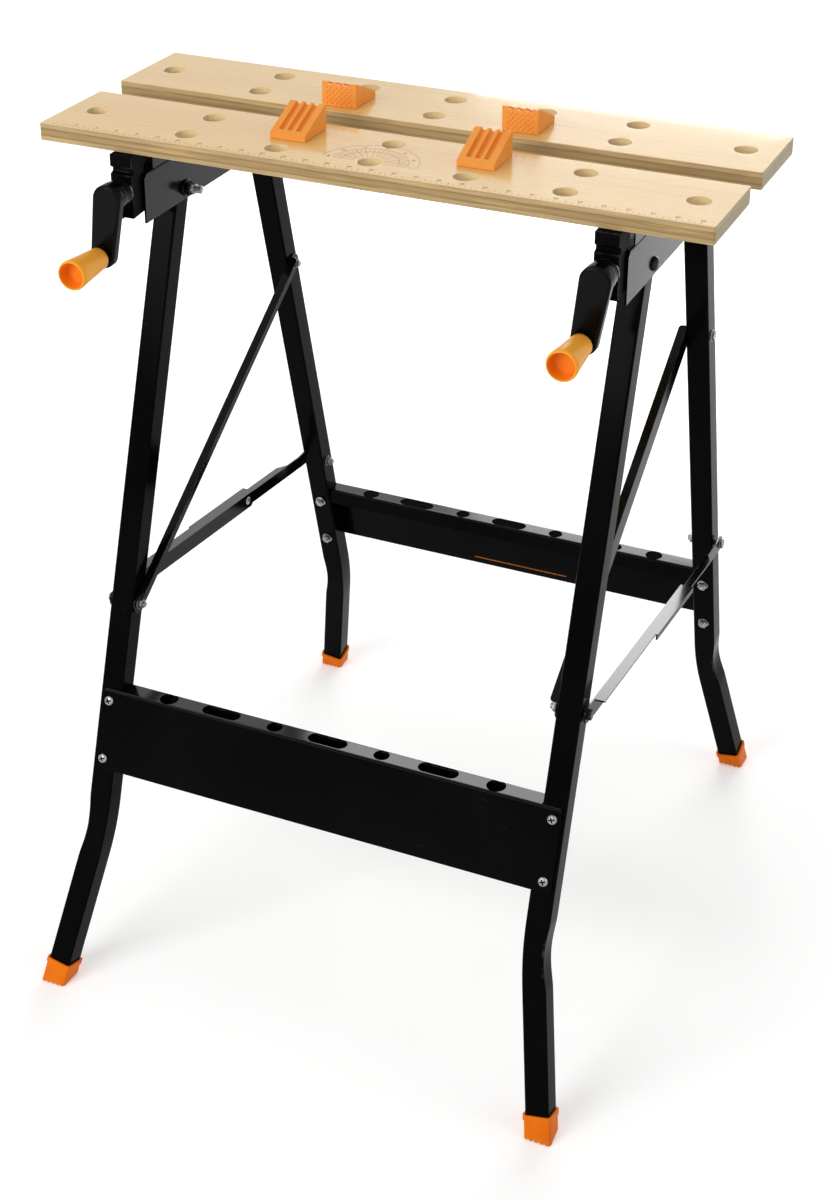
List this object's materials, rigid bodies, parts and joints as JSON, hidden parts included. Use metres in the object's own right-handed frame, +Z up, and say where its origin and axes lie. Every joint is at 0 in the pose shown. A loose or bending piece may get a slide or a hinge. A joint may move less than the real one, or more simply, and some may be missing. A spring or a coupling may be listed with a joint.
{
  "type": "folding workbench",
  "caption": "Portable folding workbench with two plywood vice jaws on crank spindles, swivelling bench dogs, splayed tube legs, pierced cross beams and folding stays.",
  "frame": {"origin": "on the floor under the middle of the bounding box", "axes": "+Z up, +X to the right along the jaws as the user faces the cranks, +Y from the cranks to the rear"},
  "size_m": [0.605, 0.6309, 0.8208],
  "materials": {
    "black_paint": "gloss black enamel on pressed steel",
    "plywood": "clear lacquered pale plywood with a burnt scale",
    "orange_plastic": "satin moulded plastic",
    "boot_plastic": "satin moulded plastic, deeper orange",
    "black_plastic": "glossy moulded plastic",
    "zinc": "bright zinc plate",
    "spindle_steel": "rolled thread, oiled steel"
  },
  "bodies": {
    "root": {"rail_left": "black_paint", "bearing_block_left": "black_plastic", "jaw_riser_left": "black_paint", "front_pivot_bolt_left": "black_paint", "rear_pivot_bolt_left": "black_paint", "rail_right": "black_paint", "bearing_block_right": "black_plastic", "jaw_riser_right": "black_paint", "front_pivot_bolt_right": "black_paint", "rear_pivot_bolt_right": "black_paint", "front_jaw": "plywood"},
    "rear_jaw": {"rear_jaw": "plywood", "carriage_left": "black_plastic", "carriage_right": "black_plastic"},
    "crank_left": {"crank_left": "black_plastic", "spindle_left": "spindle_steel"},
    "crank_grip_left": {"crank_grip_left": "orange_plastic"},
    "dog_front_left": {"dog_front_left": "orange_plastic"},
    "dog_rear_left": {"dog_rear_left": "orange_plastic"},
    "crank_right": {"crank_right": "black_plastic", "spindle_right": "spindle_steel"},
    "crank_grip_right": {"crank_grip_right": "orange_plastic"},
    "dog_front_right": {"dog_front_right": "orange_plastic"},
    "dog_rear_right": {"dog_rear_right": "orange_plastic"},
    "front_legs": {"front_beam": "black_paint", "front_leg_left": "black_paint", "foot_front_left": "boot_plastic", "front_beam_screw_upper_left": "zinc", "front_beam_screw_lower_left": "zinc", "stay_front_bolt_left": "zinc", "front_leg_right": "black_paint", "foot_front_right": "boot_plastic", "front_beam_screw_upper_right": "zinc", "front_beam_screw_lower_right": "zinc", "stay_front_bolt_right": "zinc"},
    "rear_legs": {"rear_beam": "black_paint", "rear_leg_left": "black_paint", "foot_rear_left": "boot_plastic", "rear_beam_screw_upper_left": "zinc", "rear_beam_screw_lower_left": "zinc", "diagonal_bolt_left": "zinc", "stay_nut_left": "zinc", "rear_leg_right": "black_paint", "foot_rear_right": "boot_plastic", "rear_beam_screw_upper_right": "zinc", "rear_beam_screw_lower_right": "zinc", "diagonal_bolt_right": "zinc", "stay_nut_right": "zinc"},
    "diagonal_left": {"diagonal_left": "black_paint", "diagonal_nut_left": "zinc"},
    "stay_front_left": {"stay_front_left": "black_paint", "knee_rivet_left": "zinc"},
    "stay_rear_left": {"stay_rear_left": "black_paint", "stay_rear_bolt_left": "zinc"},
    "diagonal_right": {"diagonal_right": "black_paint", "diagonal_nut_right": "zinc"},
    "stay_front_right": {"stay_front_right": "black_paint", "knee_rivet_right": "zinc"},
    "stay_rear_right": {"stay_rear_right": "black_paint", "stay_rear_bolt_right": "zinc"}
  },
  "joints": [
    {"name": "jaw_slide", "type": "slide", "parent": "root", "child": "rear_jaw", "axis": [0, 1, 0], "range_m": [-0.028, 0.06]},
    {"name": "rear_legs_fold", "type": "hinge", "parent": "root", "child": "rear_legs", "pos_m": [0, 0.1, 0.728], "axis": [-1, 0, 0], "range_deg": [0, 68.16]},
    {"name": "front_legs_fold", "type": "hinge", "parent": "root", "child": "front_legs", "pos_m": [0, -0.066, 0.728], "axis": [-1, 0, 0], "range_deg": [0, 43.6]},
    {"name": "crank_turn_left", "type": "hinge", "parent": "root", "child": "crank_left", "pos_m": [-0.21875, -0.16, 0.751], "axis": [0, -1, 0], "range_deg": [-1010, 2162]},
    {"name": "grip_spin_left", "type": "hinge", "parent": "crank_left", "child": "crank_grip_left", "pos_m": [-0.22599, -0.205, 0.69951], "axis": [0, -1, 0], "continuous": true},
    {"name": "dog_turn_front_left", "type": "hinge", "parent": "root", "child": "dog_front_left", "pos_m": [-0.0857, -0.07075, 0.799], "axis": [0, 0, 1], "continuous": true},
    {"name": "dog_turn_rear_left", "type": "hinge", "parent": "rear_jaw", "child": "dog_rear_left", "pos_m": [-0.0857, 0.01475, 0.799], "axis": [0, 0, 1], "continuous": true},
    {"name": "diagonal_pivot_left", "type": "hinge", "parent": "rear_legs", "child": "diagonal_left", "pos_m": [-0.21875, 0.14145, 0.579], "axis": [1, 0, 0], "range_deg": [0, 47.83]},
    {"name": "stay_pivot_left", "type": "hinge", "parent": "front_legs", "child": "stay_front_left", "pos_m": [-0.21875, -0.18523, 0.361], "axis": [1, 0, 0], "range_deg": [0, 57.19]},
    {"name": "stay_knee_left", "type": "hinge", "parent": "stay_front_left", "child": "stay_rear_left", "pos_m": [-0.21875, 0.07394, 0.33435], "axis": [-1, 0, 0], "range_deg": [0, 137.49]},
    {"name": "crank_turn_right", "type": "hinge", "parent": "root", "child": "crank_right", "pos_m": [0.21875, -0.16, 0.751], "axis": [0, -1, 0], "range_deg": [-1010, 2162]},
    {"name": "grip_spin_right", "type": "hinge", "parent": "crank_right", "child": "crank_grip_right", "pos_m": [0.21151, -0.205, 0.69951], "axis": [0, -1, 0], "continuous": true},
    {"name": "dog_turn_front_right", "type": "hinge", "parent": "root", "child": "dog_front_right", "pos_m": [0.0857, -0.07075, 0.799], "axis": [0, 0, 1], "continuous": true},
    {"name": "dog_turn_rear_right", "type": "hinge", "parent": "rear_jaw", "child": "dog_rear_right", "pos_m": [0.0857, 0.01475, 0.799], "axis": [0, 0, 1], "continuous": true},
    {"name": "diagonal_pivot_right", "type": "hinge", "parent": "rear_legs", "child": "diagonal_right", "pos_m": [0.21875, 0.14145, 0.579], "axis": [1, 0, 0], "range_deg": [0, 47.83]},
    {"name": "stay_pivot_right", "type": "hinge", "parent": "front_legs", "child": "stay_front_right", "pos_m": [0.21875, -0.18523, 0.361], "axis": [1, 0, 0], "range_deg": [0, 57.19]},
    {"name": "stay_knee_right", "type": "hinge", "parent": "stay_front_right", "child": "stay_rear_right", "pos_m": [0.21875, 0.07394, 0.33435], "axis": [-1, 0, 0], "range_deg": [0, 137.49]}
  ],
  "couplings": [
    {"joint": "front_legs_fold", "follows": "rear_legs_fold", "ratio": 0.63821},
    {"joint": "crank_turn_left", "follows": "jaw_slide", "rad_per_m": 628.32},
    {"joint": "diagonal_pivot_left", "follows": "rear_legs_fold", "ratio": 0.70022},
    {"joint": "stay_pivot_left", "follows": "rear_legs_fold", "ratio": 0.83761},
    {"joint": "stay_knee_left", "follows": "rear_legs_fold", "ratio": 2.0157},
    {"joint": "crank_turn_right", "follows": "jaw_slide", "rad_per_m": 628.32},
    {"joint": "diagonal_pivot_right", "follows": "rear_legs_fold", "ratio": 0.70022},
    {"joint": "stay_pivot_right", "follows": "rear_legs_fold", "ratio": 0.83761},
    {"joint": "stay_knee_right", "follows": "rear_legs_fold", "ratio": 2.0157}
  ]
}
